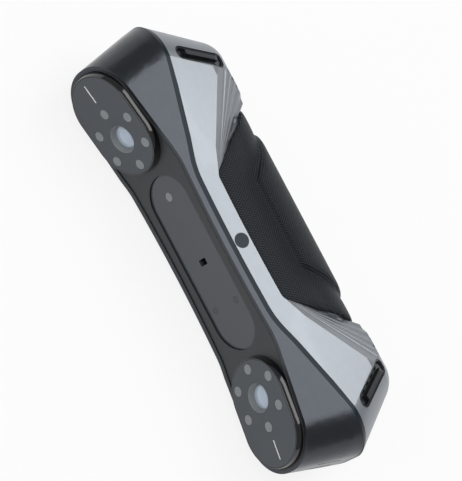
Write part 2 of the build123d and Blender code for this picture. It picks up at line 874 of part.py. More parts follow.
# Camera pods, with what each one holds
pod_inner = pod_lip + pod_ledge
for end, end_name in ((-1, "upper"), (1, "lower")):
    face_plane = pod_plane(end)

    # Ring: raised gloss wall with a ledge for the glass
    with BuildPart() as pod_ring:
        with BuildSketch(pod_plane(end, pod_height)):
            pod_slot(0)
        extrude(amount=pod_height - pod_chamfer)
        with BuildSketch(pod_plane(end, pod_chamfer)):
            pod_slot(0)
        extrude(amount=pod_chamfer, taper=pod_chamfer_angle)
        with BuildSketch(face_plane):
            pod_slot(pod_lip)
        extrude(amount=-glass_thickness, mode=Mode.SUBTRACT)
        with BuildSketch(face_plane):
            pod_slot(pod_inner)
        extrude(amount=-pod_height, mode=Mode.SUBTRACT)
    pod_ring.part.label = f"{end_name}_pod_ring"
    export_step(pod_ring.part, f"parts/{end_name}_pod_ring.step")

    # Cover glass, open over the lens and the six lights, with a groove for the index line
    index_middle = index_start + index_length / 2
    with BuildPart() as cover_glass:
        with BuildSketch(face_plane):
            pod_slot(pod_lip + fit_gap)
            Circle(cone_radius + fit_gap, mode=Mode.SUBTRACT)
            with PolarLocations(light_ring_radius, light_count):
                Circle(light_radius + fit_gap, mode=Mode.SUBTRACT)
        extrude(amount=-glass_thickness)
        with BuildSketch(face_plane):
            with Locations((index_middle, 0)):
                Rectangle(index_length + 2 * index_gap, index_width + 2 * index_gap)
        extrude(amount=-index_depth, mode=Mode.SUBTRACT)
    cover_glass.part.label = f"{end_name}_cover_glass"
    export_step(cover_glass.part, f"parts/{end_name}_cover_glass.step")

    with BuildPart() as index_line:
        with BuildSketch(face_plane):
            with Locations((index_middle, 0)):
                Rectangle(index_length, index_width)
        extrude(amount=-index_depth)
    index_line.part.label = f"{end_name}_index_line"
    export_step(index_line.part, f"parts/{end_name}_index_line.step")

    # Six light windows that stand on the light board
    with BuildPart() as light_windows:
        with BuildSketch(face_plane):
            with PolarLocations(light_ring_radius, light_count):
                Circle(light_radius)
        extrude(amount=light_board_thickness - pod_height)
    light_windows.part.label = f"{end_name}_light_windows"
    export_step(light_windows.part, f"parts/{end_name}_light_windows.step")

    with BuildPart() as light_board:
        with BuildSketch(pod_plane(end, pod_height)):
            pod_slot(pod_inner + fit_gap)
            Circle(cone_radius + 2 * fit_gap, mode=Mode.SUBTRACT)
        extrude(amount=light_board_thickness)
    light_board.part.label = f"{end_name}_light_board"
    export_step(light_board.part, f"parts/{end_name}_light_board.step")

    # Flared cone round the lens
    with BuildPart() as lens_cone:
        with BuildSketch(along(face_plane)):
            with BuildLine():
                Polyline(
                    (lens_radius + fit_gap, -pod_height),
                    (cone_radius, -pod_height),
                    (cone_radius, 0),
                    (cone_mouth_radius, 0),
                    (lens_radius + fit_gap, -lens_recess),
                    close=True,
                )
            make_face()
        revolve(axis=Axis(face_plane.origin, face_plane.z_dir))
    lens_cone.part.label = f"{end_name}_lens_cone"
    export_step(lens_cone.part, f"parts/{end_name}_lens_cone.step")

    # Domed front lens, seated on the barrel
    with BuildPart() as front_lens:
        with BuildSketch(along(face_plane)):
            with BuildLine():
                Polyline(
                    (0, -lens_recess),
                    (0, -pod_height),
                    (lens_radius, -pod_height),
                    (lens_radius, -lens_recess - lens_dome),
                )
                dome_arc(lens_radius, -lens_recess, lens_dome)
            make_face()
        revolve(axis=Axis(face_plane.origin, face_plane.z_dir))
    front_lens.part.label = f"{end_name}_front_lens"
    export_step(front_lens.part, f"parts/{end_name}_front_lens.step")

    # Lens barrel with a square flange behind the bench and grip rings on its tail
    flange_back = pod_bench + barrel_flange_thickness
    tail_back = flange_back + barrel_tail_length
    with BuildPart() as lens_barrel:
        with BuildSketch(pod_plane(end, pod_height)):
            Circle(barrel_radius)
        extrude(amount=pod_height - pod_bench)
        with BuildSketch(pod_plane(end, pod_bench)):
            RectangleRounded(barrel_flange_size, barrel_flange_size, barrel_flange_corner)
        extrude(amount=-barrel_flange_thickness)
        with BuildSketch(pod_plane(end, flange_back)):
            Circle(barrel_tail_radius)
        extrude(amount=-barrel_tail_length)
        for rib in range(barrel_rib_count):
            with BuildSketch(pod_plane(end, flange_back + (rib + 1) * barrel_rib_pitch)):
                Circle(barrel_tail_radius)
                Circle(barrel_tail_radius - barrel_rib_depth, mode=Mode.SUBTRACT)
            extrude(amount=-barrel_rib_pitch / 2, mode=Mode.SUBTRACT)
        with BuildSketch(pod_plane(end, pod_height)):
            Circle(lens_radius - barrel_seat)
        extrude(amount=pod_height - tail_back, mode=Mode.SUBTRACT)
        with BuildSketch(pod_plane(end, pod_bench)):
            with GridLocations(camera_screw_spacing, camera_screw_spacing, 2, 2):
                Circle(screw_radius + fit_gap)
        extrude(amount=-barrel_flange_thickness, mode=Mode.SUBTRACT)
    lens_barrel.part.label = f"{end_name}_lens_barrel"
    export_step(lens_barrel.part, f"parts/{end_name}_lens_barrel.step")

    with BuildPart() as camera_board:
        with BuildSketch(pod_plane(end, tail_back)):
            RectangleRounded(camera_board_size, camera_board_size, barrel_flange_corner)
        extrude(amount=-camera_board_thickness)
        with BuildSketch(pod_plane(end, tail_back + camera_board_thickness)):
            Rectangle(camera_chip_size, camera_chip_size)
        extrude(amount=-camera_chip_thickness)
    camera_board.part.label = f"{end_name}_camera_board"
    export_step(camera_board.part, f"parts/{end_name}_camera_board.step")

# Centre window, open at the projector, the colour camera and the two range sensors
window_y = plate_y + window_recess
window_back_y = window_y + window_thickness
with BuildPart() as centre_window:
    with BuildSketch(across(window_y)):
        SlotOverall(window_length, window_width)
        Rectangle(aperture_length, aperture_width, mode=Mode.SUBTRACT)
        with Locations((-colour_spot_reach, 0)):
            Circle(colour_spot_radius + fit_gap, mode=Mode.SUBTRACT)
        with Locations((sensor_reach, -sensor_half_spacing), (sensor_reach, sensor_half_spacing)):
            Circle(sensor_radius + fit_gap, mode=Mode.SUBTRACT)
    extrude(amount=-window_thickness)
centre_window.part.label = "centre_window"
export_step(centre_window.part, "parts/centre_window.step")

with BuildPart() as range_sensors:
    with BuildSketch(across(window_y)):
        with Locations((sensor_reach, -sensor_half_spacing), (sensor_reach, sensor_half_spacing)):
            Circle(sensor_radius)
    extrude(amount=window_y - bench_y)
range_sensors.part.label = "range_sensors"
export_step(range_sensors.part, "parts/range_sensors.step")

# Colour camera on the bench, with its small lens in the window
with BuildPart() as colour_camera:
    with BuildSketch(across(bench_y)):
        with Locations((-colour_spot_reach, 0)):
            RectangleRounded(colour_size, colour_size, colour_corner)
    extrude(amount=colour_depth)
    with BuildSketch(across(bench_y - colour_depth)):
        with Locations((-colour_spot_reach, 0)):
            Circle(colour_barrel_radius)
    extrude(amount=bench_y - colour_depth - window_back_y)
colour_camera.part.label = "colour_camera"
export_step(colour_camera.part, "parts/colour_camera.step")

with BuildPart() as colour_lens:
    with BuildSketch(across(window_back_y)):
        with Locations((-colour_spot_reach, 0)):
            Circle(colour_spot_radius)
    extrude(amount=window_thickness)
colour_lens.part.label = "colour_lens"
export_step(colour_lens.part, "parts/colour_lens.step")

# Optical bench: bent alloy plate that carries cameras, projector and main board
boss_depth = neck_depth + thread_length
boss_half = waist_half(thread_y) - boss_depth * math.cos(side_angle)
boss_half -= thread_boss_width / 2 * math.sin(side_angle)
bench_notch = boss_half - bench_notch_gap
with BuildPart() as optical_bench:
    add(slab(front_line(bench_setback), front_line(bench_setback + bench_thickness)))
    with BuildSketch(across(front_y)):
        RectangleRounded(2 * bench_half_length, 2 * bench_end_half_width, bench_corner)
        RectangleRounded(2 * bench_reach, 2 * bench_half_width, bench_corner)
        with Locations((0, bench_notch + bench_half_width / 2)):
            Rectangle(thread_boss_length + 2 * bench_corner, bench_half_width, mode=Mode.SUBTRACT)
        Rectangle(nozzle_length + 2 * fit_gap, nozzle_width + 2 * fit_gap, mode=Mode.SUBTRACT)
        with GridLocations(2 * post_reach, 2 * post_half_spacing, 2, 2):
            Circle(screw_radius + fit_gap, mode=Mode.SUBTRACT)
        with GridLocations(2 * lug_reach, 2 * post_half_spacing, 2, 2):
            Circle(screw_radius + fit_gap, mode=Mode.SUBTRACT)
    extrude(amount=-overall_depth, mode=Mode.INTERSECT)
    standoff_y = bench_y + bench_thickness / 2
    with BuildSketch(across(standoff_y)):
        with GridLocations(2 * standoff_reach, 2 * standoff_half_spacing, 2, 2):
            Circle(standoff_radius)
    extrude(amount=standoff_y - board_y)
    with BuildSketch(across(board_y)):
        with GridLocations(2 * standoff_reach, 2 * standoff_half_spacing, 2, 2):
            Circle(screw_radius)
    extrude(amount=screw_grip, mode=Mode.SUBTRACT)
    for end in (-1, 1):
        with BuildSketch(pod_plane(end, pod_bench)):
            Circle(barrel_radius + fit_gap)
            with GridLocations(camera_screw_spacing, camera_screw_spacing, 2, 2):
                Circle(screw_radius)
        extrude(amount=bench_thickness, both=True, mode=Mode.SUBTRACT)
optical_bench.part.label = "optical_bench"
export_step(optical_bench.part, "parts/optical_bench.step")

# Laser projector behind the bench, and the black nozzle that leads to the window
with BuildPart() as laser_projector:
    with BuildSketch(across(bench_back_y)):
        RectangleRounded(projector_length, projector_width, bench_corner)
    extrude(amount=-projector_depth)
    with BuildSketch(across(bench_back_y + projector_depth)):
        with GridLocations(projector_fin_pitch, 0, projector_fin_count, 1):
            Rectangle(projector_fin_pitch / 2, projector_width)
    extrude(amount=projector_fin_depth, mode=Mode.SUBTRACT)
laser_projector.part.label = "laser_projector"
export_step(laser_projector.part, "parts/laser_projector.step")

with BuildPart() as laser_nozzle:
    with BuildSketch(across(bench_back_y)):
        Rectangle(nozzle_length, nozzle_width)
    extrude(amount=bench_back_y - window_back_y)
    with BuildSketch(across(window_back_y)):
        Rectangle(aperture_length, aperture_width)
    extrude(amount=-nozzle_recess, mode=Mode.SUBTRACT)
laser_nozzle.part.label = "laser_nozzle"
export_step(laser_nozzle.part, "parts/laser_nozzle.step")

# Main board on the bench's standoffs, with chips and a finned heat sink
board_back_y = board_y + board_thickness
with BuildPart() as main_board:
    with BuildSketch(across(board_y)):
        RectangleRounded(board_length, board_width, bench_corner)
        with GridLocations(2 * standoff_reach, 2 * standoff_half_spacing, 2, 2):
            Circle(screw_radius + fit_gap, mode=Mode.SUBTRACT)
    extrude(amount=-board_thickness)
main_board.part.label = "main_board"
export_step(main_board.part, "parts/main_board.step")

with BuildPart() as board_chips:
    with BuildSketch(across(board_back_y)):
        with GridLocations(chip_pitch, 0, chip_count, 1):
            Rectangle(chip_size, chip_size)
    extrude(amount=-chip_height)
board_chips.part.label = "board_chips"
export_step(board_chips.part, "parts/board_chips.step")

sink_y = board_back_y + chip_height
with BuildPart() as heat_sink:
    with BuildSketch(across(sink_y)):
        Rectangle(sink_length, sink_width)
    extrude(amount=-sink_base)
    with BuildSketch(across(sink_y + sink_base)):
        with GridLocations(0, (sink_width - fin_thickness) / (fin_count - 1), 1, fin_count):
            Rectangle(sink_length, fin_thickness)
    extrude(amount=-fin_height)
heat_sink.part.label = "heat_sink"
export_step(heat_sink.part, "parts/heat_sink.step")

# Fan in the lower end: frame with a pin, and the rotor that turns on it
fan_back_x = fan_reach + fan_depth / 2
fan_plane = Plane((fan_back_x, fan_y, mid_z), x_dir=(0, 1, 0), z_dir=(-1, 0, 0))
rotor_foot = fan_base_thickness + fan_tip_gap
with BuildPart() as fan_frame:
    with BuildSketch(fan_plane):
        RectangleRounded(fan_size, fan_size, fan_corner)
        Circle(fan_bore_radius, mode=Mode.SUBTRACT)
    extrude(amount=fan_depth)
    with BuildSketch(fan_plane):
        Circle(fan_hub_radius)
        Rectangle(2 * fan_bore_radius + fan_strut_width, fan_strut_width)
        Rectangle(fan_strut_width, 2 * fan_bore_radius + fan_strut_width)
    extrude(amount=fan_base_thickness)
    with BuildSketch(fan_plane.offset(fan_base_thickness)):
        Circle(fan_pin_radius)
    extrude(amount=fan_pin_length)
fan_frame.part.label = "fan_frame"
export_step(fan_frame.part, "parts/fan_frame.step")

with BuildPart(fan_plane.offset(rotor_foot)) as fan_rotor:
    Cylinder(fan_hub_radius, fan_hub_depth, align=(Align.CENTER, Align.CENTER, Align.MIN))
    blade_run = fan_bore_radius - fan_tip_gap - fan_hub_radius + blade_root
    with PolarLocations(fan_hub_radius - blade_root + blade_run / 2, blade_count):
        with Locations((0, 0, fan_hub_depth / 2)):
            Box(blade_run, blade_width, blade_thickness, rotation=(blade_pitch, 0, 0))
    with BuildSketch(fan_plane.offset(rotor_foot)):
        Circle(fan_pin_radius + fan_pin_gap)
    extrude(amount=fan_pin_length, mode=Mode.SUBTRACT)
fan_rotor.part.label = "fan_rotor"
export_step(fan_rotor.part, "parts/fan_rotor.step")

# Scan button: chrome ring, domed cap with a holding flange, switch and board
with BuildPart() as button_ring:
    with BuildSketch(button_plane):
        Circle(ring_outer + button_ring_flange)
    extrude(amount=button_ring_rise)
    outward = Axis(button_plane.origin, button_plane.z_dir)
    chamfer(button_ring.edges().group_by(outward)[-1], button_ring_edge)
    with BuildSketch(button_plane):
        Circle(ring_outer)
    extrude(amount=-button_ring_depth)
    with BuildSketch(button_plane.offset(button_ring_rise)):
        Circle(ring_bore)
    extrude(amount=-button_ring_rise - button_ring_depth, mode=Mode.SUBTRACT)
button_ring.part.label = "button_ring"
export_step(button_ring.part, "parts/button_ring.step")

with BuildPart() as scan_button:
    with BuildSketch(along(button_plane)):
        with BuildLine():
            Polyline(
                (0, button_rise),
                (0, -cap_foot),
                (button_radius + button_flange, -cap_foot),
                (button_radius + button_flange, button_flange - cap_foot),
                (button_radius, button_flange - cap_foot),
                (button_radius, button_rise - button_dome),
            )
            dome_arc(button_radius, button_rise, button_dome)
        make_face()
    revolve(axis=Axis(button_plane.origin, button_plane.z_dir))
scan_button.part.label = "scan_button"
export_step(scan_button.part, "parts/scan_button.step")

with BuildPart() as button_switch:
    with BuildSketch(button_plane.offset(-button_board_top)):
        Rectangle(switch_size, switch_size)
    extrude(amount=switch_height)
    with BuildSketch(button_plane.offset(switch_height - button_board_top)):
        Circle(switch_plunger_radius)
    extrude(amount=switch_plunger_height)
button_switch.part.label = "button_switch"
export_step(button_switch.part, "parts/button_switch.step")

with BuildPart() as button_board:
    with BuildSketch(button_plane.offset(-button_board_top)):
        RectangleRounded(button_board_length, button_board_width, bench_corner)
    extrude(amount=-button_board_thickness)
button_board.part.label = "button_board"
export_step(button_board.part, "parts/button_board.step")

# Tripod thread: brass hexagon in its pocket, and the plug that closes the neck
with BuildPart() as thread_insert:
    with BuildSketch(thread_plane.offset(-neck_depth)):
        RegularPolygon(thread_flats / 2, 6, major_radius=False)
        Circle(thread_radius, mode=Mode.SUBTRACT)
    extrude(amount=-thread_length)
thread_insert.part.label = "thread_insert"
export_step(thread_insert.part, "parts/thread_insert.step")

with BuildPart() as thread_plug:
    with BuildSketch(thread_plane.offset(-neck_depth)):
        Circle(plug_radius)
    extrude(amount=neck_depth)
thread_plug.part.label = "thread_plug"
export_step(thread_plug.part, "parts/thread_plug.step")

# Cable port: black cup in the lower end, and the socket in its floor
with BuildPart() as port_flange_plate:
    with BuildSketch(port_plane):
        RectangleRounded(port_length + 2 * port_flange, port_width + 2 * port_flange, port_corner)
    extrude(amount=-port_flange_depth)
    add(body_form(wall + fit_gap), mode=Mode.INTERSECT)

with BuildPart() as port_insert:
    with BuildSketch(port_plane):
        RectangleRounded(port_length, port_width, port_corner)
    extrude(amount=-port_recess - port_floor)
    add(sunk_form, mode=Mode.INTERSECT)
    add(port_flange_plate.part)
    with BuildSketch(port_plane):
        RectangleRounded(port_length - 2 * port_wall, port_width - 2 * port_wall, port_corner - port_wall)
    extrude(amount=-port_recess, mode=Mode.SUBTRACT)
    with BuildSketch(port_plane):
        RectangleRounded(usb_length + 2 * fit_gap, usb_width + 2 * fit_gap, usb_width / 2)
    extrude(amount=-port_flange_depth, mode=Mode.SUBTRACT)
port_insert.part.label = "port_insert"
export_step(port_insert.part, "parts/port_insert.step")

with BuildPart() as usb_socket:
    with BuildSketch(port_plane.offset(-port_recess)):
        SlotOverall(usb_length, usb_width)
    extrude(amount=-usb_depth)
    with BuildSketch(port_plane.offset(-port_recess)):
        SlotOverall(usb_length - 2 * usb_shell, usb_width - 2 * usb_shell)
    extrude(amount=usb_shell - usb_depth, mode=Mode.SUBTRACT)
    with BuildSketch(port_plane.offset(-port_recess - usb_shell)):
        Rectangle(usb_tongue_length, usb_tongue_width)
    extrude(amount=usb_shell - usb_depth)
usb_socket.part.label = "usb_socket"
export_step(usb_socket.part, "parts/usb_socket.step")


def four_screws(seat_plane, length_apart, width_apart, shank):
    """Four screws whose heads stand on the seat plane and whose shanks go in behind it."""
    with BuildPart() as screws:
        with BuildSketch(seat_plane):
            with GridLocations(length_apart, width_apart, 2, 2):
                Circle(screw_head_radius)
        extrude(amount=screw_head_height)
        with BuildSketch(seat_plane.offset(screw_head_height)):
            with GridLocations(length_apart, width_apart, 2, 2):
                RegularPolygon(socket_radius, 6)
        extrude(amount=-socket_depth, mode=Mode.SUBTRACT)
        with BuildSketch(seat_plane):
            with GridLocations(length_apart, width_apart, 2, 2):
                Circle(screw_radius - screw_gap)
        extrude(amount=-shank)
    return screws.part


def facing_back(depth_y):
    """Plane over the whole width at one depth, facing the back."""
    return Plane((0, depth_y, mid_z), x_dir=(1, 0, 0), z_dir=(0, 1, 0))


shank_length = bench_thickness + screw_grip - screw_gap
with BuildPart() as bench_screws:
    add(four_screws(facing_back(bench_back_y), 2 * post_reach, 2 * post_half_spacing, shank_length))
bench_screws.part.label = "bench_screws"
export_step(bench_screws.part, "parts/bench_screws.step")

with BuildPart() as case_screws:
    add(four_screws(across(bench_y), 2 * lug_reach, 2 * post_half_spacing, shank_length))
case_screws.part.label = "case_screws"
export_step(case_screws.part, "parts/case_screws.step")

with BuildPart() as board_screws:
    board_shank = board_thickness + screw_grip - screw_gap
    board_seat = facing_back(board_back_y)
    add(four_screws(board_seat, 2 * standoff_reach, 2 * standoff_half_spacing, board_shank))
board_screws.part.label = "board_screws"
export_step(board_screws.part, "parts/board_screws.step")

with BuildPart() as camera_screws:
    for end in (-1, 1):
        flange_plane = pod_plane(end, pod_bench + barrel_flange_thickness)
        back_plane = Plane(flange_plane.origin, x_dir=flange_plane.x_dir, z_dir=-flange_plane.z_dir)
        camera_shank = barrel_flange_thickness + bench_thickness
        add(four_screws(back_plane, camera_screw_spacing, camera_screw_spacing, camera_shank))
camera_screws.part.label = "camera_screws"
export_step(camera_screws.part, "parts/camera_screws.step")
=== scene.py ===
import bpy
import json
import math
from mathutils import Matrix, Vector


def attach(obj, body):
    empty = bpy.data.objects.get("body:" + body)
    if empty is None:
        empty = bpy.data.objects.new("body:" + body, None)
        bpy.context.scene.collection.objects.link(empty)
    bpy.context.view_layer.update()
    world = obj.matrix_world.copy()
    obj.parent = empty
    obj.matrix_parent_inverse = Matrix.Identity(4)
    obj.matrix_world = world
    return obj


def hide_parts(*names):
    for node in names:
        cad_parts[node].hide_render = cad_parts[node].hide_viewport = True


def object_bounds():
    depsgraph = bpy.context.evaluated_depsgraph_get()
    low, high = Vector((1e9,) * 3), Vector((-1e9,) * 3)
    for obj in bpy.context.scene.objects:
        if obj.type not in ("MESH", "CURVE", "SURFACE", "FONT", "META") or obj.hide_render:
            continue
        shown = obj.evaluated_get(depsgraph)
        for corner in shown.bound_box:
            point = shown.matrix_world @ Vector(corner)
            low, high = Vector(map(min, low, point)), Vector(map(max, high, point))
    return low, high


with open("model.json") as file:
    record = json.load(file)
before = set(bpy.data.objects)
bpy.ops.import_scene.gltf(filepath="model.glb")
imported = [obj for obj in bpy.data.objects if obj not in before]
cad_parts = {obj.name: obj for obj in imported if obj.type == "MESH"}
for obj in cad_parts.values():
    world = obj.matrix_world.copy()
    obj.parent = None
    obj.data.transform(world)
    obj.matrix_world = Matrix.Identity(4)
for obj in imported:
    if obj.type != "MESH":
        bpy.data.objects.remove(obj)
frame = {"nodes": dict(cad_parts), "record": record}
nodes = frame["nodes"]
slotOf = {part["node"]: part["material_slot"] for part in frame["record"]["subparts"]}
cadLow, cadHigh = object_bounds()
mm = 0.001
mergeGap = 0.001 * mm  # points closer than this become one
easeAngle = math.radians(28.0)  # an edge that turns more than this counts as sharp
print("frame loaded:", len(nodes), "nodes")


# Steps that many pieces share
def pickOnly(piece):
    bpy.ops.object.select_all(action="DESELECT")
    piece.select_set(True)
    bpy.context.view_layer.objects.active = piece


def applyModifier(piece, kind, **settings):
    modifier = piece.modifiers.new(kind.title(), kind)
    for key, value in settings.items():
        setattr(modifier, key, value)
    pickOnly(piece)
    bpy.ops.object.modifier_apply(modifier=modifier.name)


def applyPlace():
    bpy.ops.object.transform_apply(location=True, rotation=True, scale=True)


def bevelEdges(piece, width):
    applyModifier(piece, "BEVEL", width=width * mm, segments=2, limit_method="ANGLE", angle_limit=easeAngle)


def smoothFaces(piece):
    pickOnly(piece)
    bpy.ops.object.shade_smooth_by_angle(angle=easeAngle)


def faceOutward():
    # the last step in edit mode
    bpy.ops.mesh.select_all(action="SELECT")
    bpy.ops.mesh.normals_make_consistent(inside=False)
    bpy.ops.object.mode_set(mode="OBJECT")


def pickOpenEdges():
    bpy.ops.mesh.select_mode(type="EDGE")
    bpy.ops.mesh.select_all(action="DESELECT")
    bpy.ops.mesh.select_non_manifold()


# Steps that several finishes share
grainSet = {"detail": 2.0, "usualLow": 0.3, "usualHigh": 0.7, "patch": 30, "depth": 0.25, "coatRough": 0.03,
            "gloss": 0.5}  # patch and depth count in grains


def newFinish(name, color, metallic, roughness):
    finish = bpy.data.materials.new(name)
    finish.use_nodes = True
    shader = finish.node_tree.nodes["Principled BSDF"]
    shader.inputs["Base Color"].default_value = (*color, 1)
    shader.inputs["Metallic"].default_value = metallic
    shader.inputs["Roughness"].default_value = roughness
    return finish, shader


def grainNoise(tree, width):
    # width is the size of one grain, in metres
    point = tree.nodes.new("ShaderNodeTexCoord")
    noise = tree.nodes.new("ShaderNodeTexNoise")
    noise.inputs["Scale"].default_value = 1 / width
    noise.inputs["Detail"].default_value = grainSet["detail"]
    tree.links.new(point.outputs["Object"], noise.inputs["Vector"])
    return noise.outputs["Fac"]


def stretch(tree, value, low, high):
    # the usual span of a noise comes out as low to high
    ramp = tree.nodes.new("ShaderNodeMapRange")
    ramp.inputs["From Min"].default_value = grainSet["usualLow"]
    ramp.inputs["From Max"].default_value = grainSet["usualHigh"]
    ramp.inputs["To Min"].default_value = low
    ramp.inputs["To Max"].default_value = high
    tree.links.new(value, ramp.inputs["Value"])
    return ramp.outputs["Result"]


def tint(tree, shader, value, dark, light):
    mix = tree.nodes.new("ShaderNodeMix")
    mix.data_type = "RGBA"
    mix.inputs["A"].default_value = (*dark, 1)
    mix.inputs["B"].default_value = (*light, 1)
    tree.links.new(value, mix.inputs["Factor"])
    tree.links.new(mix.outputs["Result"], shader.inputs["Base Color"])


def addRelief(tree, shader, height, strength, depth):
    bump = tree.nodes.new("ShaderNodeBump")
    bump.inputs["Strength"].default_value = strength
    bump.inputs["Distance"].default_value = depth
    tree.links.new(height, bump.inputs["Height"])
    tree.links.new(bump.outputs["Normal"], shader.inputs["Normal"])


def grainedFinish(name, look):
    # moulded plastic, paint or metal: the grain varies colour, gloss and relief
    finish, shader = newFinish(name, look["light"], look["metallic"], look["rough"][0])
    tree = finish.node_tree
    grain = look["grain"] * mm
    fine = grainNoise(tree, grain)
    broad = grainNoise(tree, grain * grainSet["patch"])
    tint(tree, shader, broad, look["dark"], look["light"])
    tree.links.new(stretch(tree, fine, *look["rough"]), shader.inputs["Roughness"])
    addRelief(tree, shader, fine, look["relief"], grain * grainSet["depth"])
    shader.inputs["Coat Weight"].default_value = look.get("coat", 0)
    shader.inputs["Coat Roughness"].default_value = grainSet["coatRough"]
    shader.inputs["Specular IOR Level"].default_value = look.get("gloss", grainSet["gloss"])
    return finish


# Plain finishes by material slot: grain in mm, colours linear
plainLooks = {
    "bezel_metal": dict(dark=(0.052, 0.058, 0.065), light=(0.06, 0.066, 0.075), metallic=0.9,
                        rough=(0.27, 0.32), grain=0.12, relief=0.04),
    "plate_black": dict(dark=(0.0145, 0.018, 0.0205), light=(0.017, 0.021, 0.024), metallic=0,
                        rough=(0.36, 0.44), grain=0.15, relief=0.08),
    "seam_blue": dict(dark=(0.005, 0.013, 0.021), light=(0.006, 0.016, 0.025), metallic=0,
                      rough=(0.3, 0.36), grain=0.2, relief=0.03, gloss=0.2),
    "shell_silver": dict(dark=(0.275, 0.295, 0.318), light=(0.3, 0.32, 0.345), metallic=0.75,
                         rough=(0.36, 0.43), grain=0.11, relief=0.06),
    "smoked_window": dict(dark=(0.053, 0.061, 0.071), light=(0.058, 0.066, 0.076), metallic=0,
                          rough=(0.16, 0.2), grain=0.3, relief=0.01),
    "smoked_glass": dict(dark=(0.0385, 0.047, 0.0575), light=(0.0425, 0.052, 0.0635), metallic=0,
                         rough=(0.16, 0.2), grain=0.3, relief=0.01),
    "pod_gloss": dict(dark=(0.004, 0.004, 0.005), light=(0.005, 0.005, 0.006), metallic=0,
                      rough=(0.1, 0.14), grain=0.3, relief=0.01, coat=0.6),
    "light_window": dict(dark=(0.2, 0.215, 0.23), light=(0.22, 0.235, 0.25), metallic=0,
                         rough=(0.25, 0.32), grain=0.4, relief=0.02),
    "sensor_window": dict(dark=(0.04, 0.043, 0.047), light=(0.045, 0.048, 0.052), metallic=0,
                          rough=(0.2, 0.26), grain=0.3, relief=0.01),
    "cone_grey": dict(dark=(0.215, 0.23, 0.24), light=(0.24, 0.255, 0.265), metallic=0,
                      rough=(0.5, 0.6), grain=0.2, relief=0.05),
    "barrel_black": dict(dark=(0.02, 0.02, 0.022), light=(0.025, 0.025, 0.028), metallic=0.7,
                         rough=(0.35, 0.45), grain=0.15, relief=0.05),
    "index_white": dict(dark=(0.8, 0.81, 0.82), light=(0.86, 0.87, 0.88), metallic=0,
                        rough=(0.4, 0.5), grain=0.2, relief=0.02),
    "vent_black": dict(dark=(0.02, 0.023, 0.027), light=(0.024, 0.027, 0.032), metallic=0,
                       rough=(0.35, 0.45), grain=0.2, relief=0.06),
    "module_black": dict(dark=(0.012, 0.012, 0.014), light=(0.016, 0.016, 0.018), metallic=0,
                         rough=(0.4, 0.5), grain=0.2, relief=0.05),
    "board_green": dict(dark=(0.008, 0.06, 0.03), light=(0.012, 0.08, 0.04), metallic=0,
                        rough=(0.3, 0.38), grain=0.4, relief=0.08),
    "alloy": dict(dark=(0.58, 0.59, 0.6), light=(0.66, 0.67, 0.68), metallic=1,
                  rough=(0.3, 0.4), grain=0.2, relief=0.06),
    "chrome_trim": dict(dark=(0.72, 0.73, 0.75), light=(0.76, 0.77, 0.79), metallic=1,
                        rough=(0.07, 0.1), grain=0.3, relief=0.01),
    "button_grey": dict(dark=(0.5, 0.52, 0.54), light=(0.55, 0.57, 0.6), metallic=1,
                        rough=(0.14, 0.18), grain=0.3, relief=0.02),
    "brass_thread": dict(dark=(0.6, 0.42, 0.16), light=(0.72, 0.53, 0.24), metallic=1,
                         rough=(0.25, 0.35), grain=0.25, relief=0.06),
    "plug_rubber": dict(dark=(0.035, 0.042, 0.054), light=(0.042, 0.05, 0.063), metallic=0,
                        rough=(0.55, 0.65), grain=0.18, relief=0.12, gloss=0.25),
    "colour_spot": dict(dark=(0.2, 0.21, 0.22), light=(0.23, 0.24, 0.25), metallic=0,
                        rough=(0.12, 0.16), grain=0.3, relief=0.01),
    "screw_steel": dict(dark=(0.5, 0.5, 0.51), light=(0.6, 0.6, 0.61), metallic=1,
                        rough=(0.25, 0.35), grain=0.15, relief=0.05),
}
finishes = {slot: grainedFinish(slot, look) for slot, look in plainLooks.items()}

# Coated front lens: bluish, very glossy
lensLook = {"light": (0.4, 0.48, 0.58), "rough": 0.06, "coat": 1.0}


def coatedLens():
    finish, shader = newFinish("lens_glass", lensLook["light"], 0, lensLook["rough"])
    shader.inputs["Coat Weight"].default_value = lensLook["coat"]
    return finish


finishes["lens_glass"] = coatedLens()

# Grip rubber: a fine woven relief that runs along the handle and round it, with painted shade darkening the
# weave's valleys
weaveLook = {"pitch": 1.3, "axisY": 12.6, "axisZ": 25.0, "girth": 19.5, "valleyShade": 2.0, "grain": 0.3,
             "dark": (0.0015, 0.0018, 0.0024), "light": (0.034, 0.043, 0.056), "rough": (0.42, 0.55),
             "relief": 0.9, "depth": 0.3, "gloss": 0.22}


def mathNode(tree, operation, first, second=None):
    node = tree.nodes.new("ShaderNodeMath")
    node.operation = operation
    for number, value in enumerate((first, second)):
        if value is None:
            continue
        if isinstance(value, (int, float)):
            node.inputs[number].default_value = value
        else:
            tree.links.new(value, node.inputs[number])
    return node.outputs["Value"]


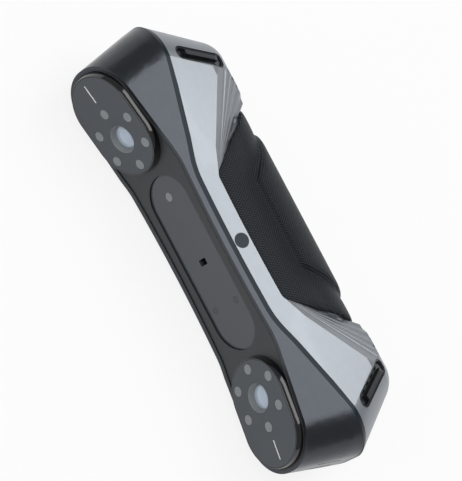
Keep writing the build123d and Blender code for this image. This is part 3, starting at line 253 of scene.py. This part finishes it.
def wovenRubber():
    look = weaveLook
    finish, shader = newFinish("grip_rubber", look["light"], 0, look["rough"][0])
    tree = finish.node_tree
    point = tree.nodes.new("ShaderNodeTexCoord")
    split = tree.nodes.new("ShaderNodeSeparateXYZ")
    tree.links.new(point.outputs["Object"], split.inputs["Vector"])
    radiansPerMetre = 2 * math.pi / (look["pitch"] * mm)
    aroundY = mathNode(tree, "SUBTRACT", split.outputs["Y"], look["axisY"] * mm)
    aroundZ = mathNode(tree, "SUBTRACT", split.outputs["Z"], look["axisZ"] * mm)
    angle = mathNode(tree, "ARCTAN2", aroundZ, aroundY)
    arc = mathNode(tree, "MULTIPLY", angle, look["girth"] * mm * radiansPerMetre)
    run = mathNode(tree, "MULTIPLY", split.outputs["X"], radiansPerMetre)
    knots = mathNode(tree, "MULTIPLY", mathNode(tree, "SINE", run), mathNode(tree, "SINE", arc))
    height = mathNode(tree, "MULTIPLY", mathNode(tree, "ADD", knots, 1.0), 0.5)
    # painted shade: the colour follows the relief height, near-black in the weave's valleys
    tint(tree, shader, mathNode(tree, "POWER", height, look["valleyShade"]), look["dark"], look["light"])
    shader.inputs["Specular IOR Level"].default_value = look["gloss"]
    gloss = stretch(tree, grainNoise(tree, look["grain"] * mm), *look["rough"])
    tree.links.new(gloss, shader.inputs["Roughness"])
    addRelief(tree, shader, height, look["relief"], look["depth"] * mm)
    return finish


finishes["grip_rubber"] = wovenRubber()
print("finishes ready:", len(finishes))

# Each node gets its slot's finish, but one lens is a plain grey disc in the photo
otherFinish = {"colour_lens": "colour_spot"}
for name, part in nodes.items():
    part.data.materials.clear()
    part.data.materials.append(finishes[otherFinish.get(name, slotOf[name])])


# Pieces made over from the frame
def copyNode(node, name):
    piece = bpy.data.objects.new(name, nodes[node].data.copy())
    bpy.context.scene.collection.objects.link(piece)
    pickOnly(piece)
    bpy.ops.mesh.customdata_custom_splitnormals_clear()
    bpy.ops.object.mode_set(mode="EDIT")
    bpy.ops.mesh.select_all(action="SELECT")
    bpy.ops.mesh.remove_doubles(threshold=mergeGap)
    bpy.ops.object.mode_set(mode="OBJECT")
    return piece


def standFor(piece, node):
    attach(piece, "housing")
    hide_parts(node)


# Grip cover: one soft moulding, its creases eased, then filled out again to the sleeve's size
gripSet = {"voxel": 0.7, "smooth": 0.5, "passes": 50, "fuller": 0.36, "longer": 1.008}


def shapeGrip():
    piece = copyNode("grip_sleeve", "gripCover")
    applyModifier(piece, "REMESH", mode="VOXEL", voxel_size=gripSet["voxel"] * mm)
    applyModifier(piece, "SMOOTH", factor=gripSet["smooth"], iterations=gripSet["passes"])
    applyModifier(piece, "DISPLACE", strength=gripSet["fuller"] * mm, mid_level=0)
    piece.scale.x = gripSet["longer"]
    applyPlace()
    bpy.ops.object.shade_smooth()
    piece.data.materials.clear()
    piece.data.materials.append(finishes["grip_rubber"])
    standFor(piece, "grip_sleeve")
    print("grip cover:", len(piece.data.polygons), "faces")


shapeGrip()

# Pod rings: gloss walls that lean in a little, with a thin lip round the glass
podSet = {"end": 64.0, "lensY": -30.356, "middleZ": 25.0, "toeIn": 10.0, "foot": 18.6, "longer": 14.5,
          "height": 3.7, "draft": 0.95, "lip": 0.45, "glass": 1.5, "ledge": 1.2, "edge": 0.18,
          "vertices": 128}


def raiseFace(distance):
    bpy.ops.mesh.extrude_region_move(TRANSFORM_OT_translate={"value": (0, 0, distance * mm)})


def longRound(name, radius, longer, vertices):
    # a disc with its right half moved out, left in edit mode with all of it selected
    bpy.ops.object.select_all(action="DESELECT")
    bpy.ops.mesh.primitive_circle_add(vertices=vertices, radius=radius * mm, fill_type="NGON")
    piece = bpy.context.object
    piece.name = name
    bpy.ops.object.mode_set(mode="EDIT")
    bpy.ops.mesh.select_mode(type="VERT")
    bpy.ops.mesh.select_all(action="DESELECT")
    bpy.ops.object.mode_set(mode="OBJECT")
    for point in piece.data.vertices:
        point.select = point.co.x > mergeGap
    bpy.ops.object.mode_set(mode="EDIT")
    bpy.ops.transform.translate(value=(longer * mm, 0, 0))
    bpy.ops.mesh.select_all(action="SELECT")
    return piece


def closeHollow():
    # takes out the selected face and joins its edge to the open edge of the foot
    bpy.ops.mesh.delete(type="FACE")
    pickOpenEdges()
    bpy.ops.mesh.bridge_edge_loops()


def setOnPod(piece, node, end, depth):
    # foot at the given depth behind the cover glass, top toward what the camera sees
    toe = math.radians(podSet["toeIn"])
    outward = Vector((-end * math.sin(toe), -math.cos(toe), 0))
    along = Vector((end * math.cos(toe), -math.sin(toe), 0))
    foot = Vector((end * podSet["end"], podSet["lensY"], podSet["middleZ"])) - outward * depth
    turn = Matrix((along, outward.cross(along), outward)).transposed().to_4x4()
    piece.matrix_world = Matrix.Translation(foot * mm) @ turn
    pickOnly(piece)
    applyPlace()
    piece.data.materials.append(finishes[slotOf[node]])
    standFor(piece, node)
    print(piece.name, "shaped:", len(piece.data.polygons), "faces")


def shapePodRing(node, name, end):
    look = podSet
    piece = longRound(name, look["foot"], look["longer"], look["vertices"])
    bpy.ops.mesh.inset(thickness=look["draft"] * mm, depth=look["height"] * mm)  # leaning wall
    bpy.ops.mesh.inset(thickness=look["lip"] * mm)
    raiseFace(-look["glass"])
    bpy.ops.mesh.inset(thickness=look["ledge"] * mm)
    raiseFace(look["glass"] - look["height"])
    closeHollow()
    faceOutward()
    bevelEdges(piece, look["edge"])
    smoothFaces(piece)
    setOnPod(piece, node, end, look["height"])


# Lens in its cone: a wide flare down to a lens with a sloping rim and a low dome
lensSet = {"outer": 6.7, "mouth": 6.6, "seat": 5.5, "deep": 2.3, "back": 3.7, "lens": 5.4, "rimDeep": 2.55,
           "rim": 0.55, "rimRise": 0.2, "domeRise": 0.55, "domeRings": 10, "ringShare": 0.97, "edge": 0.06,
           "vertices": 96}


def shapeLensCone(node, name, end):
    look = lensSet
    piece = longRound(name, look["outer"], 0, look["vertices"])
    bpy.ops.mesh.inset(thickness=0, depth=look["back"] * mm)  # straight wall, its foot left open
    bpy.ops.mesh.inset(thickness=(look["outer"] - look["mouth"]) * mm)
    flare = look["mouth"] - look["seat"]
    bpy.ops.mesh.inset(thickness=flare * mm, depth=-look["deep"] * mm)
    raiseFace(look["deep"] - look["back"])
    closeHollow()
    faceOutward()
    smoothFaces(piece)
    setOnPod(piece, node, end, look["back"])


def domeHeight(inward):
    # inward runs from 0 at the rim to 1 in the middle
    return lensSet["domeRise"] * inward * (2 - inward)


def shapeLens(node, name, end):
    look = lensSet
    piece = longRound(name, look["lens"], 0, look["vertices"])
    raiseFace(look["back"] - look["rimDeep"])  # the disc stays as the flat back
    bpy.ops.mesh.inset(thickness=look["rim"] * mm, depth=look["rimRise"] * mm)
    domeRadius = look["lens"] - look["rim"]
    for ring in range(look["domeRings"]):
        near = ring / look["domeRings"]
        far = (ring + look["ringShare"]) / look["domeRings"]  # short of the middle, where a face is left
        rise = domeHeight(far) - domeHeight(near)
        bpy.ops.mesh.inset(thickness=domeRadius * (far - near) * mm, depth=rise * mm)
    faceOutward()
    bevelEdges(piece, look["edge"])
    smoothFaces(piece)
    setOnPod(piece, node, end, look["back"])


# Back corners of the shell: the round back turns into each end over one soft bend
cornerSet = {"centre": (78.247, 20.0), "bend": 16.0, "crown": 25.3, "middleZ": 25.0, "half": 23.4,
             "points": 40, "reach": 30.0, "skin": 0.02, "fromAngle": 30.72, "toAngle": 90.0, "steps": 24}


def bendCutter(end):
    look = cornerSet
    centreX, centreY = look["centre"]
    start = math.radians(look["fromAngle"])
    profile = []
    for number in range(look["points"] + 1):
        across = look["half"] * (2 * number / look["points"] - 1)
        drop = look["crown"] - math.sqrt(look["crown"] ** 2 - across ** 2)
        profile.append((look["bend"] - drop + look["skin"], across))
    profile += [(look["reach"], look["half"]), (look["reach"], -look["half"])]
    outline = bpy.data.meshes.new("bendCutter")
    places = [((centreX + far * math.cos(start)) * mm, (centreY + far * math.sin(start)) * mm,
               (look["middleZ"] + across) * mm) for far, across in profile]
    outline.from_pydata(places, [], [list(range(len(places)))])
    cutter = bpy.data.objects.new("bendCutter", outline)
    bpy.context.scene.collection.objects.link(cutter)
    pickOnly(cutter)
    bpy.ops.object.mode_set(mode="EDIT")
    bpy.ops.mesh.select_all(action="SELECT")
    bpy.ops.mesh.spin(steps=look["steps"], angle=math.radians(look["toAngle"] - look["fromAngle"]),
                      center=(centreX * mm, centreY * mm, 0), axis=(0, 0, -1))
    bpy.ops.mesh.select_all(action="SELECT")
    if end < 0:
        bpy.ops.transform.mirror(constraint_axis=(True, False, False), center_override=(0, 0, 0))
    bpy.ops.mesh.remove_doubles(threshold=mergeGap)
    faceOutward()
    return cutter


def cutAway(piece, cutter):
    applyModifier(piece, "BOOLEAN", operation="DIFFERENCE", object=cutter, solver="EXACT")
    bpy.data.objects.remove(cutter)


def roundCorners(piece):
    for end in (-1, 1):
        cutAway(piece, bendCutter(end))
    print(piece.name, "has round back corners")


# Window pocket of the front plate: its round ends are cut free where the plate starts to bend
pocketSet = {"half": 29.5, "radius": 13.115, "reach": 2.1, "level": -22.885, "middleZ": 25.0,
             "vertices": 192}


def openPocket(piece):
    look = pocketSet
    cutter = longRound("pocketCutter", look["radius"], 2 * look["half"], look["vertices"])
    raiseFace(look["reach"])
    faceOutward()
    facing = Matrix(((1, 0, 0), (0, 0, -1), (0, 1, 0))).to_4x4()  # turned to look forward
    leftEnd = Vector((-look["half"], look["level"], look["middleZ"]))
    cutter.matrix_world = Matrix.Translation(leftEnd * mm) @ facing
    applyPlace()
    cutAway(piece, cutter)


# Housing pieces with eased edges: each node's new name and the width of its edge
easedSet = {"flatAngle": 0.4, "normalWeight": 80,
            "pieces": {"front_bezel": ("bezelCover", 0.15), "rear_shell": ("rearCover", 0.25),
                       "seam_ring": ("seamBand", 0.15), "front_plate": ("frontPanel", 0.08)}}


def easeEdges(node, name, width):
    piece = copyNode(node, name)
    if node == "rear_shell":
        roundCorners(piece)
    pickOnly(piece)
    bpy.ops.object.mode_set(mode="EDIT")
    bpy.ops.mesh.select_all(action="SELECT")
    bpy.ops.mesh.dissolve_limited(angle_limit=math.radians(easedSet["flatAngle"]))
    bpy.ops.object.mode_set(mode="OBJECT")
    bevelEdges(piece, width)
    if node == "front_plate":
        openPocket(piece)
    smoothFaces(piece)
    applyModifier(piece, "WEIGHTED_NORMAL", keep_sharp=True, weight=easedSet["normalWeight"])
    standFor(piece, node)
    print(name, "eased:", len(piece.data.polygons), "faces")


for node, (name, width) in easedSet["pieces"].items():
    easeEdges(node, name, width)

# Painted shadow: a thin black bead along the front plate's outer edge, standing in for the dark shadow line
# in the gap between plate and bezel, showing just above the bezel's rim
shadowLineSet = {"thickness": 0.62, "forward": 0.3, "facing": -0.9, "roundness": 2}


def layPlateShadowLine():
    piece = copyNode("front_plate", "plateShadowLine")
    bpy.ops.object.mode_set(mode="EDIT")
    bpy.ops.mesh.select_mode(type="FACE")
    bpy.ops.mesh.select_all(action="DESELECT")
    bpy.ops.object.mode_set(mode="OBJECT")
    for face in piece.data.polygons:
        face.select = face.normal.y < shadowLineSet["facing"]
    bpy.ops.object.mode_set(mode="EDIT")
    bpy.ops.mesh.region_to_loop()
    bpy.ops.mesh.select_all(action="INVERT")
    bpy.ops.mesh.delete(type="EDGE")
    bpy.ops.mesh.select_all(action="SELECT")
    bpy.ops.mesh.delete_loose(use_verts=True, use_edges=False, use_faces=False)
    bpy.ops.mesh.select_mode(type="VERT")
    bpy.ops.mesh.select_all(action="SELECT")
    bpy.ops.mesh.separate(type="LOOSE")
    bpy.ops.object.mode_set(mode="OBJECT")
    loops = list(bpy.context.selected_objects)
    outer = max(loops, key=lambda loop: loop.dimensions.x)
    for loop in loops:
        if loop is not outer:
            bpy.data.objects.remove(loop)
    outer.name = "plateShadowLine"
    pickOnly(outer)
    bpy.ops.object.convert(target="CURVE")
    outer = bpy.context.object
    outer.data.dimensions = "3D"
    outer.data.bevel_depth = shadowLineSet["thickness"] / 2 * mm
    outer.data.bevel_resolution = shadowLineSet["roundness"]
    bpy.ops.object.convert(target="MESH")
    outer = bpy.context.object
    outer.location.y -= shadowLineSet["forward"] * mm
    applyPlace()
    print("plate shadow line:", len(outer.data.polygons), "faces")
    # the bead's black finish is painted shadow for the gap between plate and bezel
    outer.data.materials.clear()
    outer.data.materials.append(finishes["module_black"])
    bpy.ops.object.shade_smooth()
    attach(outer, "housing")


layPlateShadowLine()

# Both pods, each with its ring, cone and lens
for side, end in (("upper", -1), ("lower", 1)):
    shapePodRing(f"{side}_pod_ring", f"{side}PodRing", end)
    shapeLensCone(f"{side}_lens_cone", f"{side}LensCone", end)
    shapeLens(f"{side}_front_lens", f"{side}FrontLens", end)

# Stage: pale floor, soft lamps, world and camera
floorSet = {"radius": 5.0, "wall": 0.9, "vertices": 96, "color": (0.9, 0.9, 0.9), "rough": 0.9,
            "glow": 0.85}  # radius and wall in metres


def layFloor():
    bpy.ops.object.select_all(action="DESELECT")
    bpy.ops.mesh.primitive_circle_add(vertices=floorSet["vertices"], radius=floorSet["radius"],
                                      fill_type="NGON", location=(0, 0, cadLow.z))
    floor = bpy.context.object
    floor.name = "paleFloor"
    bpy.ops.object.mode_set(mode="EDIT")
    pickOpenEdges()
    backdrop = (0, 0, floorSet["wall"])
    bpy.ops.mesh.extrude_edges_move(TRANSFORM_OT_translate={"value": backdrop})
    bpy.ops.object.mode_set(mode="OBJECT")
    finish, shader = newFinish("paleFloor", floorSet["color"], 0, floorSet["rough"])
    tree = finish.node_tree
    shader.inputs["Specular IOR Level"].default_value = 0
    glow = tree.nodes.new("ShaderNodeEmission")
    mix = tree.nodes.new("ShaderNodeMixShader")
    ray = tree.nodes.new("ShaderNodeLightPath")
    seen = mathNode(tree, "MAXIMUM", ray.outputs["Is Camera Ray"], ray.outputs["Is Glossy Ray"])
    seen = mathNode(tree, "MAXIMUM", seen, ray.outputs["Is Transmission Ray"])
    tree.links.new(mathNode(tree, "MULTIPLY", seen, floorSet["glow"]), mix.inputs["Fac"])
    tree.links.new(shader.outputs["BSDF"], mix.inputs[1])
    tree.links.new(glow.outputs["Emission"], mix.inputs[2])
    tree.links.new(mix.outputs["Shader"], tree.nodes["Material Output"].inputs["Surface"])
    floor.data.materials.append(finish)


layFloor()

# Lamps: places and sizes in metres, power in watts
lampSet = {
    "keyLamp": dict(place=(-0.06, 0.52, 1.12), size=(0.9, 1.0), power=8.0),
    "topLamp": dict(place=(-0.1, -0.6, 1.05), size=(0.6, 0.6), power=3.5),
    "frontLamp": dict(place=(-0.5, -1.3, 0.7), size=(0.8, 0.6), power=4.0),
}
lampAim = Vector((0, 0, 0.02))


def hangLamps():
    for name, lamp in lampSet.items():
        data = bpy.data.lights.new(name, "AREA")
        data.shape = "RECTANGLE"
        data.size, data.size_y = lamp["size"]
        data.energy = lamp["power"]
        light = bpy.data.objects.new(name, data)
        light.location = lamp["place"]
        light.rotation_euler = (lampAim - light.location).to_track_quat("-Z", "Y").to_euler()
        bpy.context.scene.collection.objects.link(light)


hangLamps()

worldSet = {"color": (0.97, 0.985, 1.0), "strength": 0.3}
world = bpy.data.worlds.new("softRoom")
world.use_nodes = True
world.node_tree.nodes["Background"].inputs["Color"].default_value = (*worldSet["color"], 1)
world.node_tree.nodes["Background"].inputs["Strength"].default_value = worldSet["strength"]
bpy.context.scene.world = world
bpy.context.scene.view_settings.view_transform = "Standard"

cameraSet = {"lookAt": (-3.302, -3.279, 26.699), "azimuth": 4.499, "elevation": 49.29, "roll": 58.802,
             "distance": 1186.185, "lens": 200, "clip": (0.05, 30)}  # angles in degrees, clip in metres


def placeCamera():
    azimuth = math.radians(cameraSet["azimuth"])
    elevation = math.radians(cameraSet["elevation"])
    level = math.cos(elevation)
    back = Vector((math.sin(azimuth) * level, -math.cos(azimuth) * level, math.sin(elevation)))
    data = bpy.data.cameras.new("photoView")
    data.lens = cameraSet["lens"]
    camera = bpy.data.objects.new("photoView", data)
    upright = (-back).to_track_quat("-Z", "Y").to_matrix().to_4x4()
    turned = upright @ Matrix.Rotation(math.radians(cameraSet["roll"]), 4, "Z")
    place = (Vector(cameraSet["lookAt"]) + back * cameraSet["distance"]) * mm
    camera.matrix_world = Matrix.Translation(place) @ turned
    data.clip_start, data.clip_end = cameraSet["clip"]
    bpy.context.scene.collection.objects.link(camera)
    bpy.context.scene.camera = camera


placeCamera()
print("stage ready")
